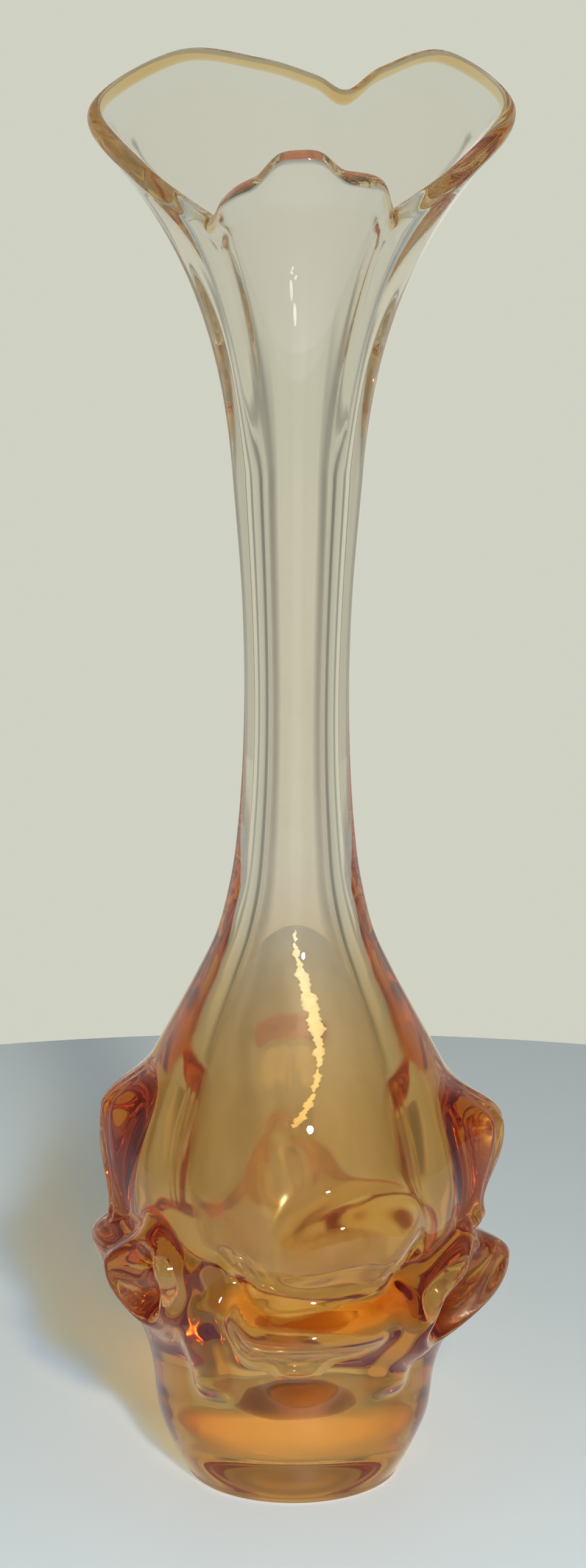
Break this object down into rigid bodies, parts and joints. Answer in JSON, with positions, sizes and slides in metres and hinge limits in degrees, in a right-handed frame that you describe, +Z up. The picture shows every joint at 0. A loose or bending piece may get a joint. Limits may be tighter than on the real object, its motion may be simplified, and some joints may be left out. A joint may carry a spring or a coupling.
{
  "type": "glass bud vase",
  "caption": "Tall blown-glass bud vase with a solid foot, a knobbed hollow bulb, a slender neck and a flared lobed mouth for a few flower stems.",
  "frame": {"origin": "centre of the flat underside of the foot", "axes": "+Z up through the neck, -Y towards the low front lobe of the mouth, +X to the right seen from the front"},
  "size_m": [0.072, 0.0686, 0.2501],
  "materials": {
    "amber_glass": "thick amber glass, fire-polished",
    "honey_glass": "honey-coloured glass, fire-polished",
    "clear_glass": "nearly clear glass with a faint straw tint, fire-polished"
  },
  "bodies": {
    "root": {"foot": "amber_glass", "bulb": "honey_glass", "neck": "clear_glass", "mouth": "clear_glass", "upper_prunt_right": "honey_glass", "upper_prunt_back": "honey_glass", "upper_prunt_left": "honey_glass", "upper_prunt_front": "honey_glass", "lower_prunt_right": "amber_glass", "lower_prunt_back": "amber_glass", "lower_prunt_left": "amber_glass", "lower_prunt_front": "amber_glass"}
  },
  "joints": []
}
